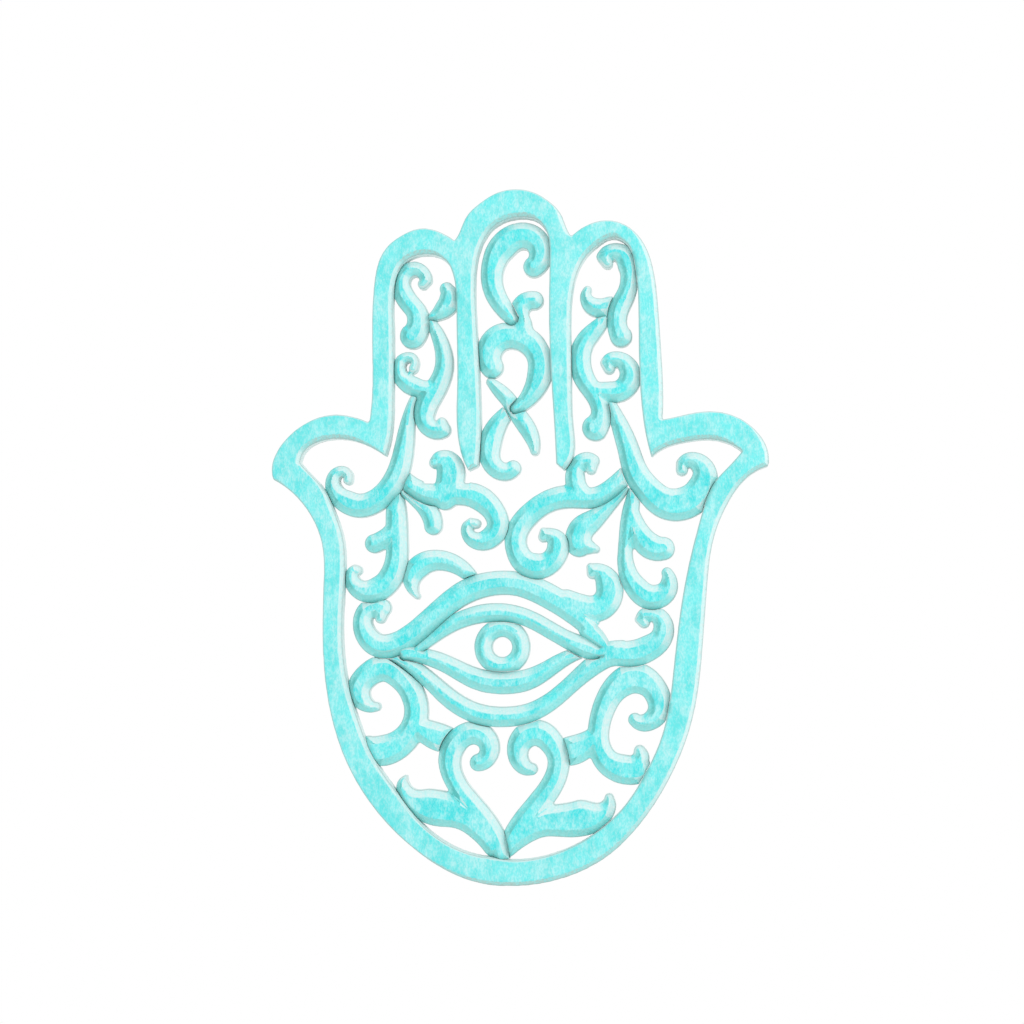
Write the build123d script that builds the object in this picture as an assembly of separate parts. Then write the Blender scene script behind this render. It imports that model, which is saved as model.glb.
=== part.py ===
"""Pierced and carved wooden hand ornament for a wall, in millimetres, +Z up.

The hand faces -Y and its flat back lies on the wall plane, y = 0.
The origin is the middle of the round hole that the ornament hangs from.
"""
from build123d import *
import os

# Thickness of the wood, from the flat back to the carved face
FRAME_DEPTH = 12.0
SCROLL_DEPTH = 10.0

# Carved bevels: how far they run in from an edge, and how far they drop
FRAME_BEVEL = 1.0
FRAME_EDGE_BREAK = 0.8
SCROLL_BEVEL = 4.4
SCROLL_BEVEL_DROP = 4.4
CREST_SHARE = 0.3

# How full the ribbons are carved, as a share of their drawn widths, and how far the inside of a curl
# may reach towards the middle of its bend
SCROLL_FULLNESS = 1.14
BEND_REACH = 0.75
BEND_STEP = 0.01
BEND_STATIONS = 2
SLIGHT_BEND = 0.001

# Ring of the eye
IRIS_X = -6.8
IRIS_Y = 135.8
IRIS_RADIUS = 16.2
PUPIL_RADIUS = 5.6
IRIS_BEVEL = 3.2

# Keyhole plate let into the back of the middle arch, its hole placed from the top of the arch
HANG_RIGHT = 0.5
HANG_DROP = 11.0
PLATE_WIDTH = 24.0
PLATE_HEIGHT = 10.8
PLATE_RISE = 1.2
PLATE_THICKNESS = 1.2
PLATE_CORNER = 1.5
PLATE_CLEARANCE = 0.2
KEYHOLE_RADIUS = 3.2
KEYHOLE_SLOT = 3.2
KEYHOLE_RUN = 3.0
POCKET_DEPTH = 4.0
POCKET_MARGIN = 0.4

# Countersunk screws of the plate
SCREW_SPACING = 17.0
SCREW_RADIUS = 1.0
SCREW_HEAD_RADIUS = 1.9
SCREW_LENGTH = 7.5

# How closely the ribbons are drawn
STATION_STEP = 5.0
MIN_STATIONS = 8

# Outer edge of the frame, drawn from the lower middle of the hand: x, y
MIDDLE_ARCH = [
    (-34, 370.5), (-31.2, 375.5), (-27.5, 384), (-19.5, 392), (-9, 398.2), (1, 400), (11, 398.3),
    (20.5, 392.8), (27.5, 385.3), (30.8, 377), (33.5, 372),
]
RIGHT_FINGER = [
    (33.5, 372), (42, 378), (53, 381), (64, 378.5), (74, 369.5), (80.3, 354), (83, 335), (85, 305),
    (86, 282), (85.5, 265.5),
]
RIGHT_THUMB = [
    (85.5, 265.5), (95, 267.5), (110, 270), (126, 267.5), (138, 259.5), (145, 248.5), (145.5, 238.5),
]
RIGHT_SIDE = [
    (145.5, 238.5), (134, 232.5), (122, 216.5), (114.5, 198), (110.5, 170), (108.5, 145), (106, 118),
    (101, 92), (90, 64), (73, 37), (52, 16.5), (25, 4), (-3, 0.3),
]
LEFT_SIDE = [
    (-3, 0.3), (-30, 5), (-55, 19.5), (-78, 41.5), (-96, 70), (-106, 101), (-110, 135), (-109.8, 170),
    (-111, 196), (-118, 212.5), (-128, 224.5), (-139.5, 232.5),
]
LEFT_THUMB = [
    (-139.5, 232.5), (-140, 242), (-135, 252.5), (-124, 263), (-108, 269.7), (-94, 269), (-83.5, 265.3),
]
LEFT_FINGER = [
    (-83.5, 265.3), (-82, 280), (-82, 310), (-81, 345), (-75, 365.5), (-65, 374), (-53, 378), (-42, 375.5),
    (-34, 370.5),
]

# Window inside the frame, which runs round both finger bars: x, y
LEFT_FINGER_WINDOW = [
    (-74, 245.5), (-71, 257), (-69.7, 285), (-69.8, 320), (-69.3, 345), (-63.5, 358.5), (-51, 363),
    (-39.5, 359), (-34.2, 347), (-33, 325), (-32.5, 290), (-32.3, 258), (-30.5, 248), (-26, 236.8),
]
LEFT_BAR_END = [(-26, 236.8), (-20.3, 239.5)]
MIDDLE_FINGER_WINDOW = [
    (-20.3, 239.5), (-19, 255), (-19.5, 290), (-21.5, 325), (-22, 350), (-18.5, 368),
    (-10, 379.5), (3, 383.7), (14, 381.5), (19.5, 374), (21, 360), (20.5, 335), (21, 305), (23, 270),
    (24.6, 240.5),
]
RIGHT_BAR_END = [(24.6, 240.5), (29, 236.8)]
RIGHT_FINGER_WINDOW = [
    (29, 236.8), (34.8, 246.5), (34.5, 262), (33.5, 290), (33.2, 320), (35, 344), (41, 359), (49, 367),
    (57, 371), (65, 367.5), (70, 355), (71.8, 335), (72, 310), (72.5, 290), (75, 262), (79, 244),
]
RIGHT_THUMB_WINDOW = [(79, 244), (87, 249.5), (100, 253), (112, 254), (122, 252), (130.5, 247)]
RIGHT_SIDE_WINDOW = [
    (130.5, 247), (124, 239.5), (115, 229.5), (108, 213), (103, 195), (98, 173), (94, 148), (91.3, 125),
    (89, 106), (84.5, 86), (75, 64.5), (61, 43.5), (45, 29.5), (25, 19.5), (3, 15), (-13, 16.5),
]
LEFT_SIDE_WINDOW = [
    (-13, 16.5), (-35, 22.5), (-52, 34.5), (-68, 54.5), (-79, 70), (-88, 90), (-95, 112), (-98.5, 135),
    (-98.8, 155), (-97.5, 180), (-99, 200), (-104, 214.5), (-110, 227), (-118, 236), (-124, 242.5),
]
LEFT_THUMB_WINDOW = [
    (-124, 242.5), (-120, 250.5), (-110, 255.3), (-100, 256), (-88, 253.3), (-79, 248.8), (-74, 245.5),
]

# Scrolls, each made of ribbons drawn along their middle: x, y, width
SCROLLS = {
    "left_finger_crest": [
        [
            (-51, 348.5, 6), (-53.2, 352.3, 8), (-57, 354.3, 9.2), (-61.8, 352.5, 10.6), (-65, 346, 11),
            (-62, 336.5, 10.5), (-57, 330, 11), (-56, 322, 12), (-59, 316, 13.5),
        ],
    ],
    "left_finger_leaf": [
        [(-49.5, 326.5, 4), (-43.5, 329.5, 8.5), (-38.6, 335.5, 12.4), (-39.2, 343, 7.5)],
    ],
    "left_finger_s_scroll": [
        [
            (-49, 326, 3.5), (-45.5, 319, 7), (-42, 310, 8.5), (-40.5, 301, 9.5), (-42.5, 291, 10.5),
            (-48, 281, 12), (-51.3, 271, 12.3), (-50.3, 266, 12), (-47, 262.6, 12), (-41.5, 261.8, 9.6),
        ],
        [
            (-49, 285, 9), (-57, 286, 10), (-64, 291, 10.5), (-66, 298.5, 8), (-63.7, 302.8, 6.5),
            (-59.5, 303.2, 5.5), (-57.3, 300, 4),
        ],
    ],
    "left_thumb_scroll": [
        [
            (-57, 282, 4), (-61, 270, 6.5), (-63, 257, 9.5), (-65, 245, 11), (-69, 233, 12),
            (-78, 222, 12), (-90, 217.5, 12.5), (-100, 222, 12), (-104.3, 229.5, 10.5),
            (-103, 235.5, 8), (-98.8, 237.3, 6), (-95.8, 235.2, 4),
        ],
    ],
    "left_palm_scroll": [
        [
            (-66, 236, 8), (-58, 228, 10), (-47, 223.5, 11.5), (-34, 224, 11.5), (-22, 222.5, 13),
            (-12.5, 214, 12.5), (-9.8, 206, 12), (-12.6, 200.5, 12.2), (-19, 197.8, 12.3),
            (-25.2, 200.5, 9.5), (-27, 205, 6.5), (-25, 208, 3.5),
        ],
        [(-38.5, 225, 16), (-37.8, 234, 16.5), (-38.6, 241, 16)],
        [(-40, 242, 13), (-45.5, 243.2, 7.5)],
        [(-38, 240, 13), (-32.5, 245.5, 9)],
    ],
    "left_drop_leaf": [
        [(-62.5, 225, 6), (-55.2, 219.4, 8), (-49.2, 213.4, 10), (-46.8, 205.6, 9.6)],
    ],
    "left_pendant": [
        [
            (-69, 228, 5), (-68.5, 216, 10.5), (-68, 203, 11.5), (-67.8, 190, 11.5), (-70, 179, 12.5),
            (-76.5, 170.7, 13), (-85, 168.5, 13), (-91.3, 171.8, 11.5), (-93.8, 176.5, 8.5),
            (-92.3, 181, 4.5),
        ],
        [(-69, 206, 8), (-74.5, 199, 9.5), (-81, 195.5, 10)],
    ],
    "middle_finger_crest": [
        [
            (11.5, 355.5, 11), (15, 363, 13), (11.8, 370.5, 14.5), (3.5, 373, 15), (-6.5, 367.5, 14.5),
            (-12.3, 356, 12), (-12.3, 344, 11), (-7, 333, 10), (-1, 325, 7),
        ],
    ],
    "middle_finger_c_scroll": [
        [
            (-12.8, 297.5, 12), (-14.3, 306, 13.5), (-9.5, 313.5, 14.5), (0.5, 315.3, 13.5),
            (9.5, 311, 13.5), (14.5, 303, 12.6), (15, 294, 13.2), (11.5, 284, 11), (5, 276, 8),
            (1, 273, 6),
        ],
        [(5, 317, 12), (3.5, 325.5, 12), (5.3, 332.3, 12), (11.8, 335.2, 10.8)],
    ],
    "middle_finger_cross_leaf": [
        [
            (-13.5, 288.5, 5), (-8, 283.3, 8), (-2, 276.5, 8.5), (2, 270, 9), (6.8, 263, 9.5),
            (10.6, 255.5, 8), (12, 248.5, 5),
        ],
    ],
    "middle_finger_hook": [
        [
            (-3, 272, 7), (-9.5, 264, 10), (-13.6, 254.5, 12), (-13.8, 245.5, 11.5), (-8, 238, 11.5),
            (-0.5, 238.5, 8.5),
        ],
    ],
    "right_finger_crest": [
        [
            (51.8, 360.4, 7.5), (57, 362.2, 11.5), (62.5, 360.5, 13), (66.3, 354.5, 11),
            (66.6, 347.5, 8.8), (65.2, 340, 9.8), (61, 331, 10.5), (59.5, 322.5, 10),
            (61.8, 314.5, 11.5),
        ],
    ],
    "right_finger_leaf": [
        [(58, 332.5, 9), (52, 331.8, 11.3), (46.8, 332.4, 11.2), (42.9, 336.4, 8.8), (42.6, 341.5, 4.5)],
    ],
    "right_finger_s_scroll": [
        [
            (53, 326, 4.5), (47, 318.5, 9), (40.5, 310.5, 10.5), (38.2, 300, 11.2), (40.5, 290.5, 11),
            (46, 281.5, 10), (49.8, 272, 9.5), (46.4, 262.2, 15),
        ],
        [
            (46.5, 284, 8), (53, 282.5, 10.5), (61, 283.5, 12.5), (66.1, 291, 13.4), (62, 299, 11),
            (55.5, 300.8, 8), (52.5, 299, 5),
        ],
    ],
    "right_thumb_scroll": [
        [
            (54, 281, 4), (58, 270.5, 7), (62.5, 259, 10), (66.5, 247, 11.5), (70, 236, 13),
            (77.5, 225.5, 14), (87, 218, 16.2), (97, 217.6, 16.8), (105.5, 224, 16.5),
            (107.8, 235, 15.5), (102, 242, 10), (95.8, 240.8, 5),
        ],
    ],
    "right_palm_scroll": [
        [
            (65, 236, 8), (57, 227.5, 10), (46, 221.5, 10.5), (33, 222, 12), (20, 219.5, 11.5),
            (8.5, 211.5, 11.5), (1.5, 201, 11.5), (1.8, 191, 11.5), (7.5, 183.6, 13), (15, 182.3, 13.5),
            (22, 187, 13), (24.5, 194.5, 13.4), (21, 200.5, 7), (17, 202.2, 3.5),
        ],
        [(39, 224, 10), (35.3, 231, 10.5), (36.3, 238, 10), (40.5, 242.3, 9.5), (45.3, 242.3, 7.5)],
    ],
    "right_drop_leaf": [
        [(63, 226, 5), (55, 217, 7), (46.5, 209.3, 10.5), (38.6, 201, 15.5), (38.3, 195, 15)],
        [(38, 194.5, 10), (43, 193, 8), (47, 191.8, 4.5)],
    ],
    "right_pendant": [
        [
            (69, 230, 4), (68, 219, 8), (66, 208, 9), (64.3, 197, 7.5), (63.8, 187, 8), (65.8, 177, 10),
            (70.5, 169.5, 12), (78, 165, 14.5), (86, 167.3, 12.5), (88.7, 173.5, 9), (87.7, 178, 6),
        ],
        [(68, 212, 8), (71.5, 202, 11), (77.5, 194, 13.5), (85.5, 192, 12)],
    ],
    "brow": [
        [
            (-76.5, 157.8, 10.5), (-82, 158, 11.8), (-86.5, 153.3, 11.2), (-86.8, 146, 11),
            (-83, 139.5, 12), (-75.5, 136, 12.4), (-65, 139, 12), (-53, 147.5, 12), (-41, 158.5, 11.5),
            (-28, 167.5, 12.5), (-12, 172.3, 12.5), (3, 171.8, 12.5), (17, 166.5, 13), (33.5, 156, 12),
            (43, 147.5, 10), (54, 138, 7),
        ],
        [
            (30, 161, 14), (40, 158.5, 14), (48.5, 159, 15.5), (54, 166, 15.5), (53, 174.5, 12.8),
            (48, 180, 7.5), (44, 181.5, 4),
        ],
    ],
    "brow_leaf": [
        [
            (-24, 175, 7), (-31, 181.5, 9), (-41, 185.5, 10.5), (-51, 184.5, 11.5), (-58, 178.5, 11.8),
            (-59, 171, 7.5), (-56, 165, 3.5),
        ],
    ],
    "upper_lid": [
        [
            (-56, 134, 5), (-47, 142, 8), (-36, 149, 8.5), (-22, 154.2, 9.4), (-6, 155.5, 9.6),
            (8, 152.2, 9), (21, 145.3, 9), (33, 138.8, 9.5), (43, 134.5, 11), (50, 132.5, 5),
        ],
    ],
    "lower_lid": [
        [
            (-63, 131, 5.5), (-50, 130, 8.5), (-36, 124.5, 9.5), (-22, 117.7, 11), (-6, 115.2, 11.6),
            (8, 117.3, 11), (20, 123.5, 9), (31, 130, 7.5), (41, 132, 4.5),
        ],
    ],
    "under_eye_scroll": [
        [
            (-73, 131.5, 4), (-62, 126.5, 7), (-51, 118.5, 8.5), (-36, 105.5, 10), (-22, 98, 10.5),
            (-6, 95.8, 10.5), (8, 98, 10), (20, 104, 9.5), (33, 114.8, 9), (46, 125.8, 10.5),
            (57, 131.5, 12), (67, 132, 13.6), (77, 135.3, 13.5), (84, 143, 13), (83.2, 150.7, 12),
            (77.5, 154, 9.5), (71.5, 151.5, 4),
        ],
    ],
    "left_heart_scroll": [
        [
            (-20.5, 70, 9.5), (-16, 73.3, 11), (-14.9, 79, 12), (-18.5, 84.8, 12.4), (-25, 86.3, 12.4),
            (-31.5, 83, 12.3), (-36, 76.5, 12), (-37, 69, 11.5), (-33.8, 59, 10.5), (-26.5, 48.5, 11),
            (-17, 36.5, 12), (-9, 23.5, 10), (-7, 16, 8),
        ],
        [
            (-12, 22, 10), (-21.5, 33.5, 12.5), (-33, 41.5, 16.5), (-45.5, 44, 18.5), (-57, 48.5, 14.5),
            (-63.2, 56, 9), (-62.5, 61, 3),
        ],
    ],
    "right_heart_scroll": [
        [
            (10, 66.2, 6.5), (4.3, 69.5, 10), (2.8, 77, 12.5), (6.5, 84.2, 14), (14, 86.2, 14.4),
            (21.5, 81, 12.5), (25.5, 71, 11), (23, 60, 11.5), (15.5, 48.5, 12), (5.5, 36, 12.5),
            (-3, 24, 9.5), (-6, 17, 7),
        ],
        [
            (-3, 21, 8), (6, 29.5, 11), (17, 36, 15), (29.5, 37.3, 17), (42, 39.5, 18.4),
            (50, 43.5, 14.5), (54.3, 50, 5),
        ],
    ],
    "left_c_scroll": [
        [
            (-79.5, 101.5, 5), (-86, 103.5, 9), (-89.3, 111, 13.5), (-84.5, 119.2, 13), (-75, 123, 15),
            (-65.5, 118, 12.5), (-58.7, 109, 12.5), (-56.3, 99, 12.5), (-59, 88.5, 13),
            (-66, 80.5, 14.5), (-75, 76.5, 16), (-84, 77, 14),
        ],
        [(-58, 91, 9), (-50, 87, 13), (-43, 84, 14.5), (-36, 82, 13)],
    ],
    "right_c_scroll": [
        [
            (69, 94.5, 7), (76, 94.3, 12), (82.2, 102, 14), (79.8, 111.5, 13.5), (70, 117.5, 17),
            (59.5, 113.5, 14), (52, 102.5, 12), (48.5, 90, 11), (48.8, 79, 11.5), (53.5, 70.5, 13),
            (61.5, 66.5, 15), (71, 66, 14),
        ],
        [(66, 67, 12), (70.5, 72.5, 9), (70.5, 77, 3.5)],
        [(49, 88, 9), (42.5, 81.5, 12.5), (35.5, 77.5, 15), (28, 76, 14)],
    ],
}


def flat_spline(points):
    """Smooth curve through drawn points on the back plane."""
    return Spline(*[Vector(x, y) for x, y in points])


def bend(spine, share):
    """How sharply a spine bends in plan, above zero where it turns left."""
    share = min(max(share, BEND_STEP), 1 - BEND_STEP)
    places = [spine @ (share + step) for step in (-BEND_STEP, 0, BEND_STEP)]
    before, middle, after = [Vector(place.X, place.Y) for place in places]
    turn = (middle - before).cross(after - middle).Z
    return 2 * turn / ((middle - before).length * (after - middle).length * (after - before).length)


def half_widths(spine, shares, side):
    """Half the carved width at each station on one side, kept clear of the middle of every bend."""
    reach = []
    for share in shares:
        inward = max(side * bend(spine, share), SLIGHT_BEND)
        reach.append(BEND_REACH / inward)
    half = []
    for index, share in enumerate(shares):
        room = min(reach[max(index - BEND_STATIONS, 0):index + BEND_STATIONS + 1])
        half.append(min((spine @ share).Z * SCROLL_FULLNESS / 2, room))
    inner = [(a + 2 * b + c) / 4 for a, b, c in zip(half, half[1:], half[2:])]
    return [half[0], *inner, half[-1]]


def ribbon_wire(points, bevel, height):
    """Outline of one ribbon at a height above the back, with round ends."""
    spine = Spline(*[Vector(*point) for point in points])
    count = max(MIN_STATIONS, round(spine.length / STATION_STEP))
    shares = [station / count for station in range(count + 1)]
    rails = []
    for side in (1, -1):
        rail = []
        for share, half in zip(shares, half_widths(spine, shares, side)):
            place = spine @ share
            ahead = spine % share
            across = Vector(-ahead.Y, ahead.X).normalized()
            crest = max(half - bevel, CREST_SHARE * half)
            rail.append(Vector(place.X, place.Y, height) + across * (side * crest))
        rails.append(rail)
    left, right = rails
    tips = []
    for index, share in ((0, 0), (-1, 1)):
        ahead = spine % share
        ahead = Vector(ahead.X, ahead.Y).normalized() * ((left[index] - right[index]).length / 2)
        middle = (left[index] + right[index]) / 2
        tips.append(middle + ahead if share else middle - ahead)
    return Wire([
        Spline(*left),
        ThreePointArc(left[-1], tips[1], right[-1]),
        Spline(*reversed(right)),
        ThreePointArc(right[0], tips[0], left[0]),
    ])


def ribbon(points):
    """Bevelled ribbon of wood."""
    return Solid.make_loft(
        [
            ribbon_wire(points, 0, 0),
            ribbon_wire(points, 0, SCROLL_DEPTH - SCROLL_BEVEL_DROP),
            ribbon_wire(points, SCROLL_BEVEL, SCROLL_DEPTH),
        ],
        ruled=True,
    )


def footprint(points):
    """Prism of a ribbon's outline, taller than anything carved."""
    face = Face(ribbon_wire(points, 0, -1))
    return Solid.extrude(face, Vector(0, 0, FRAME_DEPTH + SCROLL_DEPTH))


def near(one, other):
    """Whether the boxes of two shapes meet."""
    a = one.bounding_box()
    b = other.bounding_box()
    across = a.min.X <= b.max.X and b.min.X <= a.max.X
    return across and a.min.Y <= b.max.Y and b.min.Y <= a.max.Y


def iris_ring():
    """Bevelled ring round the pupil."""
    shoulder = SCROLL_DEPTH - SCROLL_BEVEL_DROP
    section = make_face(Polyline(
        (PUPIL_RADIUS, 0),
        (IRIS_RADIUS, 0),
        (IRIS_RADIUS, shoulder),
        (IRIS_RADIUS - IRIS_BEVEL, SCROLL_DEPTH),
        (PUPIL_RADIUS + IRIS_BEVEL, SCROLL_DEPTH),
        (PUPIL_RADIUS, shoulder),
        close=True,
    ))
    return Pos(IRIS_X, IRIS_Y) * revolve(Plane.XZ * section, Axis.Z)


def hang_place():
    """Middle of the keyhole's round hole, on the drawing of the hand."""
    top_x, top_y = max(MIDDLE_ARCH, key=lambda point: point[1])
    return Pos(top_x + HANG_RIGHT, top_y - HANG_DROP)


def upright_slot(width, depth):
    """Round-ended slot that runs up from the middle of the keyhole's round hole."""
    run = Pos(0, KEYHOLE_RUN / 2) * Rectangle(width, KEYHOLE_RUN)
    top = Pos(0, KEYHOLE_RUN) * Circle(width / 2)
    return extrude(Circle(width / 2) + run + top, depth)


def keyhole():
    """Round hole that lets a screw head through, with the slot that catches it above."""
    return extrude(Circle(KEYHOLE_RADIUS), PLATE_THICKNESS) + upright_slot(KEYHOLE_SLOT, PLATE_THICKNESS)


def head_pocket():
    """Pocket in the wood where the screw head slides up behind the plate."""
    return upright_slot(2 * (KEYHOLE_RADIUS + POCKET_MARGIN), PLATE_THICKNESS + POCKET_DEPTH)


def screw_places():
    """Middle of each screw of the plate."""
    return [Pos(side * SCREW_SPACING / 2, PLATE_RISE) for side in (-1, 1)]


def screw():
    """Countersunk screw, its head flush with the back."""
    taper = SCREW_HEAD_RADIUS - SCREW_RADIUS
    section = make_face(Polyline(
        (0, 0),
        (SCREW_HEAD_RADIUS, 0),
        (SCREW_RADIUS, taper),
        (SCREW_RADIUS, SCREW_LENGTH - SCREW_RADIUS),
        (0, SCREW_LENGTH),
        close=True,
    ))
    return revolve(Plane.XZ * section, Axis.Z)


def keyhole_plate():
    """Steel plate with the keyhole and two countersunk holes."""
    blank = Pos(0, PLATE_RISE) * RectangleRounded(PLATE_WIDTH, PLATE_HEIGHT, PLATE_CORNER)
    plate = extrude(blank, PLATE_THICKNESS) - keyhole()
    for place in screw_places():
        plate -= place * screw()
    return plate


def frame_face():
    """Outline of the frame with its window, which leaves the two finger bars."""
    outer = Wire([
        flat_spline(MIDDLE_ARCH),
        flat_spline(RIGHT_FINGER),
        flat_spline(RIGHT_THUMB),
        flat_spline(RIGHT_SIDE),
        flat_spline(LEFT_SIDE),
        flat_spline(LEFT_THUMB),
        flat_spline(LEFT_FINGER),
    ])
    window = Wire([
        flat_spline(LEFT_FINGER_WINDOW),
        flat_spline(LEFT_BAR_END),
        flat_spline(MIDDLE_FINGER_WINDOW),
        flat_spline(RIGHT_BAR_END),
        flat_spline(RIGHT_FINGER_WINDOW),
        flat_spline(RIGHT_THUMB_WINDOW),
        flat_spline(RIGHT_SIDE_WINDOW),
        flat_spline(LEFT_SIDE_WINDOW),
        flat_spline(LEFT_THUMB_WINDOW),
    ])
    return Face(outer, [window])


def frame_prism():
    """Prism of the frame's outline, taller than anything carved."""
    return Pos(0, 0, -1) * Solid.extrude(frame_face(), Vector(0, 0, FRAME_DEPTH + SCROLL_DEPTH))


def trimmed(shapes, prisms):
    """One solid from overlapping shapes, cut back to the pieces it meets."""
    piece = shapes[0]
    for shape in shapes[1:]:
        piece += shape
    for prism in prisms:
        if near(piece, prism):
            piece -= prism
    return piece.solids().sort_by(SortBy.VOLUME)[-1]


def hand_frame():
    """Frame of the hand, bevelled to the window and rebated for the plate."""
    frame = Solid.extrude(frame_face(), Vector(0, 0, FRAME_DEPTH))
    face = frame.faces().sort_by(Axis.Z)[-1]
    frame = chamfer(face.inner_wires()[0].edges(), FRAME_BEVEL)
    face = frame.faces().sort_by(Axis.Z)[-1]
    frame = chamfer(face.outer_wire().edges(), FRAME_EDGE_BREAK)
    rebate = Pos(0, PLATE_RISE) * RectangleRounded(
        PLATE_WIDTH + 2 * PLATE_CLEARANCE,
        PLATE_HEIGHT + 2 * PLATE_CLEARANCE,
        PLATE_CORNER + PLATE_CLEARANCE,
    )
    hanger = hang_place()
    frame -= hanger * extrude(rebate, PLATE_THICKNESS)
    frame -= hanger * head_pocket()
    for place in screw_places():
        frame -= hanger * place * screw()
    return frame


def build_pieces():
    """Every piece by name, lying on its back; a later piece is trimmed where it meets an earlier one."""
    frame = hand_frame()
    pieces = {"hand_frame": frame}
    prisms = [frame_prism()]
    for name, ribbons in SCROLLS.items():
        shapes = [ribbon(points) for points in ribbons]
        pieces[name] = trimmed(shapes, prisms)
        prisms += [footprint(points) for points in ribbons]
    pieces["iris_ring"] = trimmed([iris_ring()], prisms)
    hanger = hang_place()
    pieces["keyhole_plate"] = hanger * keyhole_plate()
    pieces["plate_screws"] = Compound([hanger * place * screw() for place in screw_places()])
    return pieces


if __name__ == "__main__":
    os.makedirs("parts", exist_ok=True)
    on_wall = Plane.XZ * hang_place().inverse()
    for name, piece in build_pieces().items():
        export_step(on_wall * piece, f"parts/{name}.step")
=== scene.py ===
"""Looks of the carved and washed wooden hand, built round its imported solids, in metres."""
import bpy
import bmesh
import math
import numpy as np
from mathutils import Matrix, Vector
from mathutils.bvhtree import BVHTree
from mathutils.kdtree import KDTree


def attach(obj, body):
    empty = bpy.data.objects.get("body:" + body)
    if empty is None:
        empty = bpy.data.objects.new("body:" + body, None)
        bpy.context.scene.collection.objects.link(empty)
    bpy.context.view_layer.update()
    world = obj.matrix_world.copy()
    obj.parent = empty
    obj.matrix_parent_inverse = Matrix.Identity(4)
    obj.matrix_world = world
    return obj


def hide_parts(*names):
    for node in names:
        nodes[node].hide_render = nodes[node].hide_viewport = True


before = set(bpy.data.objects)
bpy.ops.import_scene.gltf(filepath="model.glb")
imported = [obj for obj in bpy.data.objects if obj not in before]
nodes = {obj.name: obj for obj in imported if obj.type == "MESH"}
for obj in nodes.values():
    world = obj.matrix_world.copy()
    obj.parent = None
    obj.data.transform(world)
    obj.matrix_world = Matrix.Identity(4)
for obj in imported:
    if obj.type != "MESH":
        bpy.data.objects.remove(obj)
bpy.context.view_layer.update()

FRAME_NODE = "hand_frame"
PLATE_NODE = "keyhole_plate"
SCREW_NODE = "plate_screws"
FRONT = (0.0, -1.0, 0.0)
BACK = (0.0, 1.0, 0.0)

# Meshes
WELD_DISTANCE = 0.000002
SCROLL_VOXEL = 0.00055
FRAME_VOXEL = 0.0007
SMOOTH_SHARE = 0.5
SMOOTH_ROUNDS = 3
KEEP_FACES = 0.7
FRAME_KEEP_FACES = 0.45
SHARP_ANGLE = math.radians(50.0)

# Walls: how far their normals may tip, and heights at which they are upright on every scroll, and on
# the frame clear of the hanger
WALL_TIP = 0.3
SCROLL_BAND = (-0.0055, -0.0030)
FRAME_BAND = (-0.0098, -0.0080)
# How far beyond a wall a solid still counts as touching it
TOUCH_REACH = 0.0009

# The frame's bevel is wide on the edges that face right and down
BEVEL_SIDE = Vector((0.78, 0.0, -0.62))
BEVEL_WIDENS_FROM = -0.1
BEVEL_WIDEST_FROM = 0.5
FRAME_BEVEL_WIDE = 0.0024
FRAME_BEVEL_NARROW = 0.0004
FRAME_BEVEL_SLOPE = 1.15
FRAME_BEVEL_REACH = 0.0085
FRAME_DEPTH = 0.012

# Knife marks, which fade out where the surface turns to the back
TOOL_MARK = 0.00022
TOOL_MARK_SIZE = 0.006
TOOL_MARK_DETAIL = 2
TOOL_MARK_FADE = (0.3, 0.0)
WEIGHT_LEVELS = 10

# Small carved runs added to the scrolls, by node: x, z and width along each
CARVED_RUNS = {
    "brow": [
        [(-0.0780, -0.2312, 0.0100), (-0.0788, -0.2366, 0.0066)],
        [(0.0425, -0.2075, 0.0050), (0.0434, -0.2112, 0.0066)],
    ],
    "left_finger_crest": [[(-0.0525, -0.0405, 0.0064), (-0.0545, -0.0427, 0.0066)]],
    "left_finger_s_scroll": [
        [(-0.0588, -0.0890, 0.0050), (-0.0600, -0.0920, 0.0058)],
        [(-0.0430, -0.1272, 0.0090), (-0.0434, -0.1236, 0.0064)],
    ],
    "left_palm_scroll": [
        [(-0.0265, -0.1810, 0.0046), (-0.0235, -0.1822, 0.0060)],
        [
            (-0.0415, -0.1670, 0.0150), (-0.0390, -0.1590, 0.0164), (-0.0381, -0.1525, 0.0168),
            (-0.0398, -0.1470, 0.0142), (-0.0440, -0.1450, 0.0104), (-0.0476, -0.1470, 0.0068),
        ],
    ],
    "left_pendant": [[(-0.0938, -0.2080, 0.0050), (-0.0924, -0.2090, 0.0062)]],
    "left_thumb_scroll": [[(-0.0973, -0.1538, 0.0048), (-0.0980, -0.1566, 0.0060)]],
    "right_c_scroll": [
        [
            (0.0640, -0.3208, 0.0110), (0.0690, -0.3192, 0.0112),
            (0.0710, -0.3158, 0.0096), (0.0702, -0.3122, 0.0070),
        ],
    ],
    "right_finger_crest": [[(0.0503, -0.0286, 0.0078), (0.0526, -0.0322, 0.0066)]],
    "right_finger_s_scroll": [[(0.0510, -0.0900, 0.0058), (0.0534, -0.0932, 0.0068)]],
    "right_palm_scroll": [
        [(0.0155, -0.1868, 0.0046), (0.0154, -0.1902, 0.0064)],
        [(0.0438, -0.1467, 0.0080), (0.0429, -0.1512, 0.0066)],
    ],
    "right_thumb_scroll": [[(0.0943, -0.1482, 0.0058), (0.0949, -0.1520, 0.0072)]],
    "under_eye_scroll": [[(0.0700, -0.2375, 0.0050), (0.0730, -0.2394, 0.0068)]],
}
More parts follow.
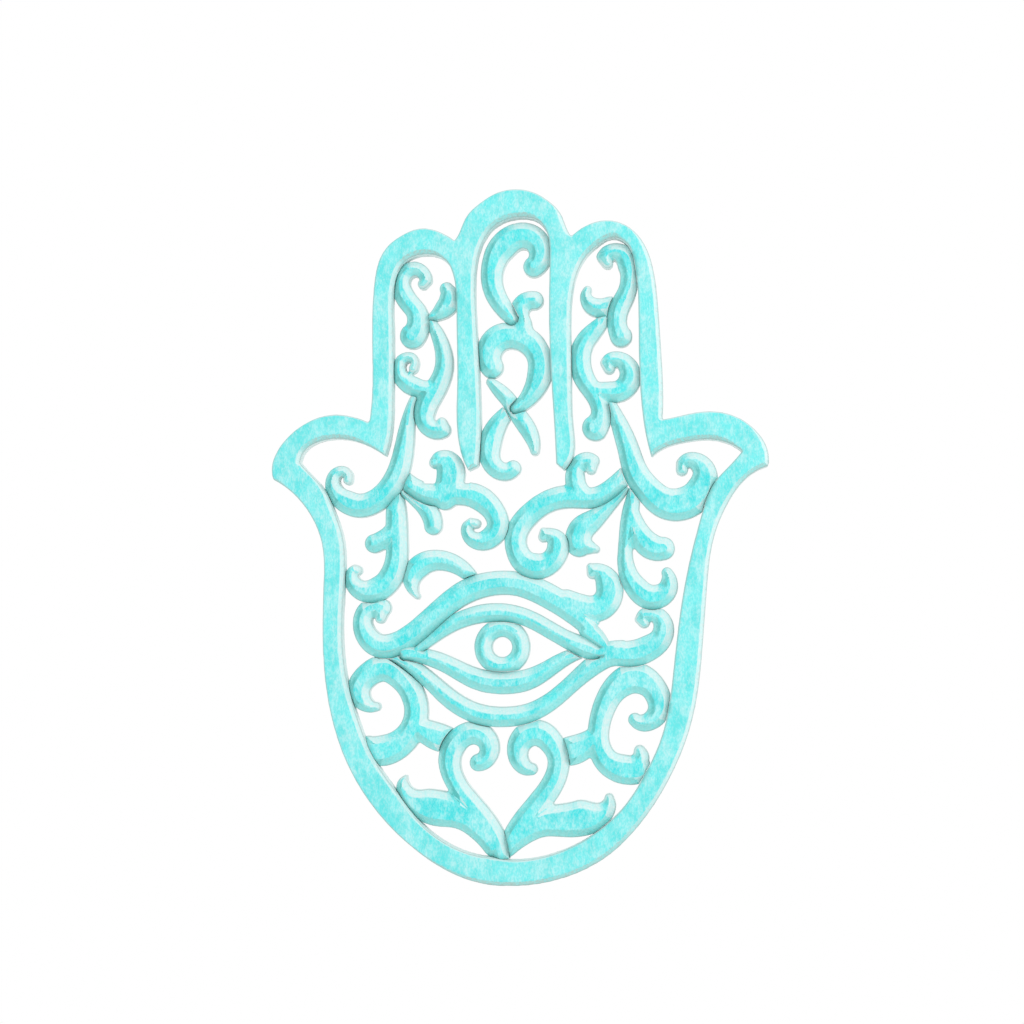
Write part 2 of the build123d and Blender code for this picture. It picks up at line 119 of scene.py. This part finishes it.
# Runs that reach under a neighbour, by node: how far their backs are set in, then x, z and width
TUCKED_RUNS = {
    "brow": (
        0.0006,
        [
            (0.0406, -0.2430, 0.0108), (0.0452, -0.2468, 0.0098),
            (0.0491, -0.2506, 0.0074), (0.0520, -0.2538, 0.0040),
        ],
    ),
    "lower_lid": (
        0.0006,
        [(-0.0655, -0.2560, 0.0044), (-0.0610, -0.2557, 0.0058), (-0.0560, -0.2574, 0.0056)],
    ),
    "under_eye_scroll": (
        0.0012,
        [(0.0480, -0.2560, 0.0060), (0.0535, -0.2548, 0.0100), (0.0600, -0.2550, 0.0120)],
    ),
    "upper_lid": (
        0.0018,
        [(0.0470, -0.2562, 0.0066), (0.0510, -0.2566, 0.0044), (0.0550, -0.2562, 0.0020)],
    ),
}
# Plain ends that those runs take the place of, by node: low and high corner of a box, x and z
CUT_ENDS = {
    "brow": ((0.0450, -0.2630), (0.0640, -0.2400)),
    "left_palm_scroll": ((-0.0540, -0.1588), (-0.0270, -0.1380)),
}
CUT_MIDDLE = -0.005
CUT_DEPTH = 0.03
RUN_STEPS = 12
BEAD_SIDES = 28
CREST_HEIGHT = 0.0099
SHOULDER = 0.0056
LEAST_CREST = 0.25
# How far the scrolls' bevels run in from their edges
BEVEL_RUN = 0.0045

# Painted highlight: the wash is painted pale on edges that face right and up, towards the key lamp
HIGHLIGHT_SIDE = Vector((0.82, 0.0, 0.57))
INSET_LIMIT = 2.0
# Painted shade in a seam between parts, darkest on the side turned from the light, and a free edge has a
# thin rim
SEAM_SHADING = (0.25, -0.35)
SEAM_LEAST = 0.35
SEAM_FADE = (0.0030, 0.0004)
RIM_FADE = (0.0009, 0.0003)

# Hanger
PLATE_EDGE = 0.00012
PLATE_EDGE_STEPS = 2
PLATE_EDGE_ANGLE = math.radians(40.0)
CROSS_TURN = 0.4
CROSS_SIZE = (0.0022, 0.0016, 0.00045)

# Colours of the wash on both the frame and the scrolls
VEIL = (0.58, 0.92, 0.92)
SPECK = (0.70, 0.94, 0.94)
# The next two are painted highlight: pale paint for slopes that face the light
HIGHLIGHT_THIN = (0.67, 0.90, 0.89)
HIGHLIGHT_BRIGHT = (0.83, 0.92, 0.91)
WALL_PALE = (0.78, 0.88, 0.87)
WALL_STREAK = (0.58, 0.84, 0.83)
# Painted shade near the back of walls turned from the light
WALL_SHADE_NEAR_BACK = (0.50, 0.54, 0.50)
RIM_LINE = (0.38, 0.50, 0.48)
# Painted shade in the seams between parts
SEAM_SHADE = (0.15, 0.54, 0.52)
# Bare wood of the back
WOOD_DARK = (0.46, 0.32, 0.19)
WOOD_LIGHT = (0.62, 0.46, 0.29)
WOOD_GREYED = (0.36, 0.42, 0.36)
WOOD_FIBRE = (0.30, 0.20, 0.11)
# Zinc plating and the floor
ZINC_LIGHT = (0.66, 0.68, 0.70)
ZINC_DULL = (0.50, 0.52, 0.54)
ZINC_BRUSHED = (0.80, 0.82, 0.84)
PLATE_BRUSHING = (200.0, 2600.0, 2600.0)
SCREW_BRUSHING = (1400.0, 1400.0, 1400.0)
FLOOR_DARK = (0.90, 0.90, 0.90)
FLOOR_LIGHT = (0.93, 0.93, 0.93)

# Camera, on the right of the hand and a little below its middle
CAMERA_AZIMUTH = 5.0
CAMERA_ELEVATION = -3.5
CAMERA_DISTANCE = 1.3
VIEW_WIDTH = 0.5888
AIM = Vector((-0.0026, -0.006, -0.1757))

# Light and floor
SKY = 0.94
KEY_WATTS = 4.1
KEY_SIZE = 0.6
KEY_PLACE = AIM + Vector((1.1, -0.9, 0.75))
FLOOR_HEIGHT = -0.95
FLOOR_RADIUS = 2.5
FLOOR_SIDES = 96


def smooth_step(start, end, values):
    """0 at start, 1 at end, eased between."""
    share = np.clip((values - start) / (end - start), 0.0, 1.0)
    return share * share * (3.0 - 2.0 * share)


def piece_from(node, name):
    """New object with a copy of a node's mesh, its split corners joined."""
    mesh = nodes[node].data.copy()
    mesh.name = name
    mesh.materials.clear()
    shape = bmesh.new()
    shape.from_mesh(mesh)
    bmesh.ops.remove_doubles(shape, verts=shape.verts, dist=WELD_DISTANCE)
    shape.to_mesh(mesh)
    shape.free()
    piece = bpy.data.objects.new(name, mesh)
    bpy.context.scene.collection.objects.link(piece)
    return piece


def apply_modifiers(piece):
    """Replaces the piece's mesh by what its modifiers make of it."""
    graph = bpy.context.evaluated_depsgraph_get()
    result = bpy.data.meshes.new_from_object(piece.evaluated_get(graph))
    piece.modifiers.clear()
    old = piece.data
    result.name = old.name
    piece.data = result
    bpy.data.meshes.remove(old)


def subtract(piece, shape, crosses_itself=False):
    """Takes a closed bmesh off a piece, and frees it."""
    mesh = bpy.data.meshes.new("cutter")
    shape.to_mesh(mesh)
    shape.free()
    cutter = bpy.data.objects.new("cutter", mesh)
    bpy.context.scene.collection.objects.link(cutter)
    cut = piece.modifiers.new("cut", "BOOLEAN")
    cut.operation = "DIFFERENCE"
    cut.solver = "EXACT"
    cut.use_self = crosses_itself
    cut.object = cutter
    apply_modifiers(piece)
    bpy.data.objects.remove(cutter)
    bpy.data.meshes.remove(mesh)


def vertex_arrays(mesh):
    """Places and normals of a mesh's vertices."""
    count = len(mesh.vertices)
    places = np.zeros(count * 3)
    mesh.vertices.foreach_get("co", places)
    normals = np.zeros(count * 3)
    mesh.vertices.foreach_get("normal", normals)
    return places.reshape(-1, 3), normals.reshape(-1, 3)


def remesh(piece, voxel):
    """Even mesh with softened corners, as carved and sanded wood has."""
    step = piece.modifiers.new("voxels", "REMESH")
    step.mode = "VOXEL"
    step.voxel_size = voxel
    soften = piece.modifiers.new("soften", "SMOOTH")
    soften.factor = SMOOTH_SHARE
    soften.iterations = SMOOTH_ROUNDS
    apply_modifiers(piece)


def add_bead(shape, x, z, width, back):
    """Adds a round, bevelled peg of wood whose back lies at that y."""
    radius = width / 2
    crest = max(radius - BEVEL_RUN, LEAST_CREST * width)
    angles = [2 * math.pi * step / BEAD_SIDES for step in range(BEAD_SIDES)]
    rows = []
    for y, reach in ((back, radius), (-SHOULDER, radius), (-CREST_HEIGHT, crest)):
        ring = [(x + reach * math.cos(a), y, z + reach * math.sin(a)) for a in angles]
        rows.append([shape.verts.new(place) for place in ring])
    shape.faces.new(rows[0])
    shape.faces.new(reversed(rows[-1]))
    for lower, upper in zip(rows, rows[1:]):
        for step in range(BEAD_SIDES):
            after = (step + 1) % BEAD_SIDES
            shape.faces.new((lower[after], lower[step], upper[step], upper[after]))


def along_curve(points, steps):
    """Points along a smooth curve through the given ones."""
    knots = np.array(points)
    ends = np.vstack([2 * knots[0] - knots[1], knots, 2 * knots[-1] - knots[-2]])
    for a, b, c, d in zip(ends, ends[1:], ends[2:], ends[3:]):
        square = 2 * a - 5 * b + 4 * c - d
        cube = 3 * b - a - 3 * c + d
        for t in np.linspace(0.0, 1.0, steps, endpoint=False):
            yield (2 * b + (c - a) * t + square * t ** 2 + cube * t ** 3) / 2
    yield knots[-1]


def cut_away(piece, low, high):
    """Takes off what lies in an upright box through the piece."""
    shape = bmesh.new()
    middle = Matrix.Translation(((low[0] + high[0]) / 2, CUT_MIDDLE, (low[1] + high[1]) / 2))
    size = Matrix.Diagonal((high[0] - low[0], CUT_DEPTH, high[1] - low[1], 1.0))
    bmesh.ops.create_cube(shape, size=1.0, matrix=middle @ size)
    subtract(piece, shape)


def add_carving(piece, node):
    """Adds the small carved forms of a scroll: rounded curl tips, pointed ends, a curled bud."""
    if node in CUT_ENDS:
        cut_away(piece, *CUT_ENDS[node])
    shape = bmesh.new()
    shape.from_mesh(piece.data)
    runs = [(0.0, run) for run in CARVED_RUNS.get(node, ())]
    if node in TUCKED_RUNS:
        runs.append(TUCKED_RUNS[node])
    for set_in, run in runs:
        for x, z, width in along_curve(run, RUN_STEPS):
            add_bead(shape, x, z, width, -set_in)
    shape.to_mesh(piece.data)
    shape.free()


class Edges:
    """Upright walls of a piece: where they are, which way they face and whether they meet another piece."""

    def __init__(self, mesh, band, solids):
        places, normals = vertex_arrays(mesh)
        in_band = (places[:, 1] > band[0]) & (places[:, 1] < band[1])
        chosen = np.where((np.abs(normals[:, 1]) < WALL_TIP) & in_band)[0]
        self.sides = normals[chosen].copy()
        self.sides[:, 1] = 0.0
        self.sides /= np.linalg.norm(self.sides, axis=1)[:, None]
        self.touch = np.zeros(len(chosen))
        self.tree = KDTree(len(chosen))
        for slot, index in enumerate(chosen):
            place = Vector((places[index, 0], 0.0, places[index, 2]))
            self.tree.insert(place, slot)
            beyond = place + Vector(self.sides[slot]) * TOUCH_REACH
            beyond.y = band[1]
            if solids.ray_cast(beyond, Vector(FRONT))[0] is not None:
                self.touch[slot] = 1.0
        self.tree.balance()

    def nearest(self, places):
        """Distance in from the nearest wall, its facing and its touch, for each place."""
        distance = np.zeros(len(places))
        slots = np.zeros(len(places), dtype=int)
        for index, place in enumerate(places):
            _, slots[index], distance[index] = self.tree.find((place[0], 0.0, place[2]))
        return distance, self.sides[slots], self.touch[slots]


def carve_frame_bevel(piece, edges):
    """Cuts the frame's bevel, wide along the edges that face right or down."""
    places, _ = vertex_arrays(piece.data)
    near_front = np.where(places[:, 1] < -FRAME_BEVEL_REACH)[0]
    distance, sides, _ = edges.nearest(places[near_front])
    turned = sides @ np.array(BEVEL_SIDE) - BEVEL_WIDENS_FROM
    share = np.clip(turned / (BEVEL_WIDEST_FROM - BEVEL_WIDENS_FROM), 0.0, 1.0)
    width = FRAME_BEVEL_NARROW + (FRAME_BEVEL_WIDE - FRAME_BEVEL_NARROW) * share
    cut = -FRAME_DEPTH + np.maximum(width - distance, 0.0) * FRAME_BEVEL_SLOPE
    places[near_front, 1] = np.maximum(places[near_front, 1], cut)
    piece.data.vertices.foreach_set("co", places.reshape(-1))
    piece.data.update()


def tool_marks(piece, keep_faces):
    """Shallow unevenness of the carving knife, cut into the front and sides only."""
    _, normals = vertex_arrays(piece.data)
    front = piece.vertex_groups.new(name="front")
    weights = smooth_step(*TOOL_MARK_FADE, normals[:, 1])
    for level in range(1, WEIGHT_LEVELS + 1):
        chosen = np.where(np.round(weights * WEIGHT_LEVELS) == level)[0]
        if len(chosen):
            front.add(chosen.tolist(), level / WEIGHT_LEVELS, "REPLACE")
    pattern = bpy.data.textures.new(piece.name + "_marks", "CLOUDS")
    pattern.noise_scale = TOOL_MARK_SIZE
    pattern.noise_depth = TOOL_MARK_DETAIL
    dents = piece.modifiers.new("dents", "DISPLACE")
    dents.texture = pattern
    dents.texture_coords = "LOCAL"
    dents.vertex_group = "front"
    dents.mid_level = 1.0
    dents.strength = TOOL_MARK
    thin = piece.modifiers.new("thin", "DECIMATE")
    thin.ratio = keep_faces
    apply_modifiers(piece)
    bpy.data.textures.remove(pattern)
    piece.vertex_groups.clear()


def add_value(mesh, name, values):
    """Stores one number for each vertex of a mesh."""
    layer = mesh.attributes.new(name, "FLOAT", "POINT")
    layer.data.foreach_set("value", np.asarray(values, dtype=np.float32))


def mark_paint(piece, edges):
    """How far in from an edge each place is, which way that edge faces, and where painted shade darkens the
    seams between parts and a thin rim darkens free edges.
    """
    mesh = piece.data
    places, _ = vertex_arrays(mesh)
    distance, sides, touch = edges.nearest(places)
    lean = sides @ np.array(HIGHLIGHT_SIDE)
    seam = SEAM_LEAST + (1.0 - SEAM_LEAST) * smooth_step(*SEAM_SHADING, lean)
    add_value(mesh, "inset", np.clip(distance / BEVEL_RUN, 0.0, INSET_LIMIT))
    add_value(mesh, "lean", lean)
    add_value(mesh, "touch", touch)
    add_value(mesh, "down", -sides[:, 2])
    # Painted shade along seams where the piece meets another, darkest on the side turned from the light
    add_value(mesh, "seam", touch * seam * smooth_step(*SEAM_FADE, distance))
    add_value(mesh, "rim", (1.0 - touch) * smooth_step(*RIM_FADE, distance))


def wood_piece(node, solids):
    """Carved piece that stands for a wooden node."""
    piece = piece_from(node, node + "_wood")
    if node == FRAME_NODE:
        remesh(piece, FRAME_VOXEL)
        edges = Edges(piece.data, FRAME_BAND, solids)
        carve_frame_bevel(piece, edges)
        tool_marks(piece, FRAME_KEEP_FACES)
    else:
        add_carving(piece, node)
        remesh(piece, SCROLL_VOXEL)
        edges = Edges(piece.data, SCROLL_BAND, solids)
        tool_marks(piece, KEEP_FACES)
    mark_paint(piece, edges)
    piece.data.shade_smooth()
    piece.data.set_sharp_from_angle(angle=SHARP_ANGLE)
    return piece


def all_solids():
    """Search tree of the faces of every solid."""
    places = []
    faces = []
    for node in sorted(nodes):
        start = len(places)
        mesh = nodes[node].data
        matrix = nodes[node].matrix_world
        places += [matrix @ vertex.co for vertex in mesh.vertices]
        faces += [[start + index for index in face.vertices] for face in mesh.polygons]
    return BVHTree.FromPolygons(places, faces)


def plate_piece():
    """Steel hanger plate with broken edges."""
    piece = piece_from(PLATE_NODE, PLATE_NODE + "_steel")
    edge = piece.modifiers.new("edge", "BEVEL")
    edge.width = PLATE_EDGE
    edge.segments = PLATE_EDGE_STEPS
    edge.limit_method = "ANGLE"
    edge.angle_limit = PLATE_EDGE_ANGLE
    apply_modifiers(piece)
    return piece


def screws_piece():
    """Countersunk screws with a cross cut in each head."""
    piece = piece_from(SCREW_NODE, SCREW_NODE + "_steel")
    places, _ = vertex_arrays(piece.data)
    size = Matrix.Diagonal((*CROSS_SIZE, 1.0))
    shape = bmesh.new()
    for side in (-1, 1):
        own = places[places[:, 0] * side > 0]
        middle = (own.min(axis=0) + own.max(axis=0)) / 2
        head = Matrix.Translation((middle[0], 0.0, middle[2]))
        for turn in (CROSS_TURN, CROSS_TURN + math.pi / 2):
            turned = Matrix.Rotation(turn, 4, "Y")
            bmesh.ops.create_cube(shape, size=1.0, matrix=head @ turned @ size)
    subtract(piece, shape, crosses_itself=True)
    return piece


def add(tree, kind, inputs=(), **settings):
    """New shader node with its settings made and its inputs set or linked."""
    made = tree.nodes.new(kind)
    for key, setting in settings.items():
        setattr(made, key, setting)
    for key, given in dict(inputs).items():
        if isinstance(given, bpy.types.NodeSocket):
            tree.links.new(given, made.inputs[key])
        else:
            made.inputs[key].default_value = given
    return made


def maths(tree, operation, first, second):
    """Sum, product or the like of two numbers."""
    return add(tree, "ShaderNodeMath", {0: first, 1: second}, operation=operation).outputs[0]


def times(tree, first, second):
    """Product of two numbers."""
    return maths(tree, "MULTIPLY", first, second)


def mixed(tree, share, first, second):
    """Colour between two, by a share."""
    colours = [c if isinstance(c, bpy.types.NodeSocket) else (*c, 1.0) for c in (first, second)]
    made = add(tree, "ShaderNodeMix", {0: share, 6: colours[0], 7: colours[1]}, data_type="RGBA")
    return made.outputs[2]


def over(tree, colour, pattern, strength, paint):
    """Colour with some paint laid over it in a pattern."""
    return mixed(tree, times(tree, pattern, strength), colour, paint)


def noise(tree, stretch, detail, low, high):
    """Noise stretched along the axes, as a share from 0 to 1 between two levels."""
    place = add(tree, "ShaderNodeTexCoord").outputs["Object"]
    scaled = add(tree, "ShaderNodeVectorMath", {0: place, 1: stretch}, operation="MULTIPLY").outputs[0]
    made = add(tree, "ShaderNodeTexNoise", {"Vector": scaled, "Scale": 1.0, "Detail": detail})
    spread = {"Value": made.outputs[0], "From Min": low, "From Max": high}
    return add(tree, "ShaderNodeMapRange", spread).outputs[0]


def ranged(tree, share, low, high):
    """Number between two, by a share."""
    return add(tree, "ShaderNodeMapRange", {"Value": share, "To Min": low, "To Max": high}).outputs[0]


def eased(tree, number, start, end):
    """Number as a share, 0 at start and 1 at end."""
    inputs = {"Value": number, "From Min": start, "From Max": end}
    return add(tree, "ShaderNodeMapRange", inputs, interpolation_type="SMOOTHSTEP").outputs[0]


def vertex_value(tree, name):
    """One of the numbers kept on the vertices."""
    return add(tree, "ShaderNodeAttribute", attribute_name=name).outputs["Fac"]


def facing(tree, normal, side):
    """How far the surface turns towards a side of the hand."""
    turned = add(
        tree, "ShaderNodeVectorTransform", {"Vector": normal},
        vector_type="NORMAL", convert_from="WORLD", convert_to="OBJECT",
    ).outputs[0]
    return add(tree, "ShaderNodeVectorMath", {0: turned, 1: side}, operation="DOT_PRODUCT").outputs["Value"]


def new_material(name):
    """Material with its node tree and its shader."""
    material = bpy.data.materials.new(name)
    material.use_nodes = True
    return material, material.node_tree, material.node_tree.nodes["Principled BSDF"]


def set_surface(tree, shader, colour, bump, roughness):
    """Links what varies over the surface to the shader."""
    tree.links.new(colour, shader.inputs["Base Color"])
    tree.links.new(bump.outputs[0], shader.inputs["Normal"])
    tree.links.new(roughness, shader.inputs["Roughness"])


def wall_wash(tree, strokes, lean):
    """Thin wash on the upright walls, with painted shade near the back on the side turned from the light.
    """
    place = add(tree, "ShaderNodeTexCoord").outputs["Object"]
    depth = add(tree, "ShaderNodeSeparateXYZ", {0: place}).outputs["Y"]
    near_back = eased(tree, depth, start=-0.0025, end=-0.0004)
    shaded = eased(tree, lean, start=0.3, end=-0.3)
    wall = over(tree, WALL_PALE, strokes, 0.6, WALL_STREAK)
    # Painted shade near the back where the wall turns from the light
    return mixed(tree, times(tree, near_back, shaded), wall, WALL_SHADE_NEAR_BACK)


def bare_wood(tree, blotches, fibres):
    """Unpainted wood of the back."""
    rings = noise(tree, stretch=(240.0, 90.0, 9.0), detail=3.0, low=0.36, high=0.64)
    wood = mixed(tree, rings, WOOD_DARK, WOOD_LIGHT)
    wood = over(tree, wood, blotches, 0.25, WOOD_GREYED)
    return over(tree, wood, fibres, 0.3, WOOD_FIBRE)


def washed_wood(name, carved, face, face_light, face_deep, shade_deep, shade_soft, under):
    """Turquoise wash on carved wood: blotched and brushed, with painted highlight on the slopes that face
    right and up and painted shade on the other side.
    """
    material, tree, shader = new_material(name)
    blotches = noise(tree, stretch=(85.0, 85.0, 60.0), detail=3.0, low=0.40, high=0.62)
    pools = noise(tree, stretch=(120.0, 120.0, 85.0), detail=3.0, low=0.47, high=0.62)
    strokes = noise(tree, stretch=(620.0, 420.0, 250.0), detail=3.0, low=0.50, high=0.66)
    veils = noise(tree, stretch=(380.0, 300.0, 170.0), detail=3.0, low=0.50, high=0.64)
    mottle = noise(tree, stretch=(760.0, 760.0, 600.0), detail=3.0, low=0.38, high=0.62)
    specks = noise(tree, stretch=(900.0, 900.0, 700.0), detail=2.0, low=0.58, high=0.72)
    flecks = noise(tree, stretch=(1150.0, 1150.0, 620.0), detail=2.0, low=0.42, high=0.60)
    fibres = noise(tree, stretch=(1500.0, 500.0, 130.0), detail=2.0, low=0.3, high=0.7)
    gaps = maths(tree, "SUBTRACT", 1.0, flecks)

    # Where the surface slopes to an edge, and which way that edge faces
    surface = add(tree, "ShaderNodeNewGeometry").outputs
    front = facing(tree, surface["Normal"], FRONT)
    backward = facing(tree, surface["True Normal"], BACK)
    uneven = times(tree, maths(tree, "SUBTRACT", mottle, 0.5), 0.11)
    lean = vertex_value(tree, "lean")
    inset = maths(tree, "ADD", vertex_value(tree, "inset"), uneven)
    level = maths(tree, "ADD", front, times(tree, uneven, 0.5))
    slope = eased(tree, level, start=0.97, end=0.82)
    if carved:
        free = maths(tree, "SUBTRACT", 1.0, vertex_value(tree, "touch"))
        run_in = times(tree, eased(tree, inset, start=1.10, end=0.86), free)
        slope = maths(tree, "MAXIMUM", slope, run_in)
    # Shares of painted highlight on slopes facing the light, and of painted shade on slopes turned away and
    # slopes facing down
    highlight_share = times(tree, eased(tree, lean, start=0.0, end=0.5), slope)
    shade_share = times(tree, eased(tree, lean, start=0.0, end=-0.5), slope)
    under_share = times(tree, eased(tree, vertex_value(tree, "down"), start=0.35, end=0.85), slope)

    # Front face
    colour = mixed(tree, blotches, face, face_light)
    colour = over(tree, colour, pools, 0.80, face_deep)
    colour = over(tree, colour, veils, 0.40, VEIL)
    colour = over(tree, colour, strokes, 0.42, face_deep)
    colour = over(tree, colour, specks, 0.35, SPECK)
    colour = over(tree, colour, flecks, 0.16, SPECK)
    colour = over(tree, colour, gaps, 0.34, face_deep)

    # Slopes: painted highlight on the side facing the light, painted shade on the other, and painted shade
    # below
    pale = mixed(tree, mottle, HIGHLIGHT_THIN, HIGHLIGHT_BRIGHT)
    pale = over(tree, pale, gaps, 0.25, face_light)
    pale = over(tree, pale, strokes, 0.3, face_light)
    colour = over(tree, colour, highlight_share, 0.95, pale)
    # Painted shade on slopes turned from the light, darkest near the crest
    deepened = eased(tree, maths(tree, "ADD", inset, uneven), start=0.1, end=0.9)
    shade = mixed(tree, deepened, shade_soft, shade_deep)
    shade = over(tree, shade, pools, 0.4, shade_deep)
    shade = over(tree, shade, strokes, 0.3, face)
    colour = mixed(tree, shade_share, colour, shade)
    # Painted shade on slopes facing down
    below = mixed(tree, mottle, under, shade_soft)
    below = over(tree, below, strokes, 0.4, face)
    colour = over(tree, colour, under_share, 0.75, below)

    # Walls, edges and back
    upright = eased(tree, maths(tree, "ABSOLUTE", backward, 0.0), start=0.5, end=0.3)
    colour = mixed(tree, upright, colour, wall_wash(tree, strokes, lean))
    rim = times(tree, vertex_value(tree, "rim"), eased(tree, front, start=0.1, end=0.5))
    colour = over(tree, colour, rim, 0.7, RIM_LINE)
    # Painted shade in the seams between parts
    colour = over(tree, colour, vertex_value(tree, "seam"), 0.62, SEAM_SHADE)
    on_back = eased(tree, backward, start=0.5, end=0.7)
    colour = mixed(tree, on_back, colour, bare_wood(tree, blotches, fibres))

    grain = add(tree, "ShaderNodeBump", {"Strength": 0.25, "Distance": 0.0003, "Height": fibres})
    set_surface(tree, shader, colour, grain, ranged(tree, blotches, 0.62, 0.80))
    shader.inputs["Specular IOR Level"].default_value = 0.25
    return material


def zinc_steel(name, stretch):
    """Zinc-plated steel, brushed along one way and a little dulled."""
    material, tree, shader = new_material(name)
    brushing = noise(tree, stretch, detail=3.0, low=0.3, high=0.7)
    dulling = noise(tree, stretch=(420.0, 420.0, 420.0), detail=2.0, low=0.35, high=0.65)
    colour = mixed(tree, dulling, ZINC_LIGHT, ZINC_DULL)
    colour = over(tree, colour, brushing, 0.3, ZINC_BRUSHED)
    lines = add(tree, "ShaderNodeBump", {"Strength": 0.3, "Distance": 0.00005, "Height": brushing})
    set_surface(tree, shader, colour, lines, ranged(tree, dulling, 0.30, 0.48))
    shader.inputs["Metallic"].default_value = 1.0
    return material


def keep(piece, node, material):
    """Puts a finished piece in place of its node."""
    piece.data.materials.append(material)
    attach(piece, "root")
    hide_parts(node)


def area_lamp(name, place, aim, size, watts):
    """Soft lamp that points at the hand."""
    lamp = bpy.data.lights.new(name, "AREA")
    lamp.shape = "DISK"
    lamp.size = size
    lamp.energy = watts
    holder = bpy.data.objects.new(name, lamp)
    holder.location = place
    holder.rotation_euler = (aim - place).to_track_quat("-Z", "Y").to_euler()
    bpy.context.scene.collection.objects.link(holder)


def white_world(strength):
    """Soft light all round, seen as plain white by the camera and in reflections."""
    world = bpy.data.worlds.new("studio")
    bpy.context.scene.world = world
    world.use_nodes = True
    tree = world.node_tree
    path = add(tree, "ShaderNodeLightPath").outputs
    seen = maths(tree, "MAXIMUM", path["Is Camera Ray"], path["Is Glossy Ray"])
    seen = maths(tree, "MAXIMUM", seen, path["Is Transmission Ray"])
    backdrop = tree.nodes["Background"]
    backdrop.inputs["Color"].default_value = (1.0, 1.0, 1.0, 1.0)
    tree.links.new(ranged(tree, seen, strength, 1.0), backdrop.inputs["Strength"])


def pale_floor():
    """Wide pale floor well below the hand."""
    shape = bmesh.new()
    level = Matrix.Translation((0, 0, FLOOR_HEIGHT))
    bmesh.ops.create_circle(shape, cap_ends=True, segments=FLOOR_SIDES, radius=FLOOR_RADIUS, matrix=level)
    mesh = bpy.data.meshes.new("floor")
    shape.to_mesh(mesh)
    shape.free()
    floor = bpy.data.objects.new("floor", mesh)
    bpy.context.scene.collection.objects.link(floor)
    material, tree, shader = new_material("pale_floor")
    cloud = noise(tree, stretch=(3.0, 3.0, 3.0), detail=2.0, low=0.3, high=0.7)
    tree.links.new(mixed(tree, cloud, FLOOR_DARK, FLOOR_LIGHT), shader.inputs["Base Color"])
    shader.inputs["Roughness"].default_value = 0.9
    mesh.materials.append(material)


def place_camera():
    """Camera at the photograph's angle."""
    azimuth = math.radians(CAMERA_AZIMUTH)
    elevation = math.radians(CAMERA_ELEVATION)
    away = Vector((
        math.sin(azimuth) * math.cos(elevation),
        -math.cos(azimuth) * math.cos(elevation),
        math.sin(elevation),
    ))
    lens = bpy.data.cameras.new("camera")
    lens.sensor_fit = "HORIZONTAL"
    lens.angle = 2 * math.atan(VIEW_WIDTH / 2 / CAMERA_DISTANCE)
    camera = bpy.data.objects.new("camera", lens)
    camera.location = AIM + away * CAMERA_DISTANCE
    camera.rotation_euler = (-away).to_track_quat("-Z", "Y").to_euler()
    bpy.context.scene.collection.objects.link(camera)
    bpy.context.scene.camera = camera


solids = all_solids()
# shade_deep, shade_soft and under are painted shade for slopes turned from the light and slopes facing down
frame_wash = washed_wood(
    "frame_wash",
    carved=False,
    face=(0.21, 0.91, 0.91),
    face_light=(0.44, 0.92, 0.92),
    face_deep=(0.12, 0.80, 0.80),
    shade_deep=(0.24, 0.72, 0.70),
    shade_soft=(0.40, 0.80, 0.78),
    under=(0.48, 0.60, 0.56),
)
scroll_wash = washed_wood(
    "scroll_wash",
    carved=True,
    face=(0.15, 0.90, 0.90),
    face_light=(0.42, 0.93, 0.93),
    face_deep=(0.045, 0.76, 0.78),
    shade_deep=(0.14, 0.58, 0.56),
    shade_soft=(0.42, 0.89, 0.87),
    under=(0.33, 0.79, 0.77),
)
for node_name in sorted(nodes):
    if node_name not in (PLATE_NODE, SCREW_NODE):
        wash = frame_wash if node_name == FRAME_NODE else scroll_wash
        keep(wood_piece(node_name, solids), node_name, wash)
keep(plate_piece(), PLATE_NODE, zinc_steel("plate_zinc", PLATE_BRUSHING))
keep(screws_piece(), SCREW_NODE, zinc_steel("screw_zinc", SCREW_BRUSHING))

white_world(SKY)
area_lamp("key", KEY_PLACE, AIM, KEY_SIZE, KEY_WATTS)
pale_floor()
place_camera()
bpy.context.scene.view_settings.view_transform = "Standard"
